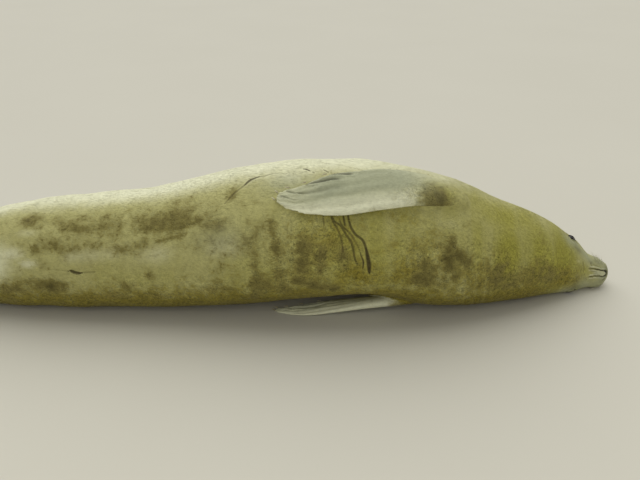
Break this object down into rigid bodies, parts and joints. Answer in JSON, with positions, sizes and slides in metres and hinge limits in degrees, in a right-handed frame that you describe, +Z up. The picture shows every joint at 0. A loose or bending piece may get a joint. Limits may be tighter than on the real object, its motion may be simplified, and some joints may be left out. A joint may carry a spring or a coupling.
{
  "type": "crabeater seal",
  "caption": "Still, life-size crabeater seal lying on its left side, belly forward, right fore flipper folded back on its flank.",
  "frame": {"origin": "on the floor, under the middle of the seal's box", "axes": "+X towards the nose, +Y towards the back, +Z up; the belly faces -Y and the right side is uppermost"},
  "size_m": [2.61, 0.4928, 0.4811],
  "materials": {
    "coat": "short flat fur, pale straw over the back and flank, mottled brown",
    "flipper_coat": "very short pale fur over ridged digits",
    "wet_eye": "wet, almost black",
    "horn": "dark horn"
  },
  "bodies": {
    "root": {"belly": "coat", "chest": "coat", "claw_fore_left_1": "horn", "claw_fore_left_2": "horn", "claw_fore_left_3": "horn", "claw_fore_left_4": "horn", "claw_fore_left_5": "horn", "claw_fore_right_1": "horn", "claw_fore_right_2": "horn", "claw_fore_right_3": "horn", "claw_fore_right_4": "horn", "claw_fore_right_5": "horn", "claw_hind_left_1": "horn", "claw_hind_left_2": "horn", "claw_hind_left_3": "horn", "claw_hind_left_4": "horn", "claw_hind_left_5": "horn", "claw_hind_right_1": "horn", "claw_hind_right_2": "horn", "claw_hind_right_3": "horn", "claw_hind_right_4": "horn", "claw_hind_right_5": "horn", "eye_left": "wet_eye", "eye_right": "wet_eye", "fore_flipper_left": "flipper_coat", "fore_flipper_right": "flipper_coat", "head": "coat", "hind_flipper_left": "flipper_coat", "hind_flipper_right": "flipper_coat", "hips": "coat", "lower_jaw": "coat", "neck": "coat", "tail": "coat"}
  },
  "joints": []
}
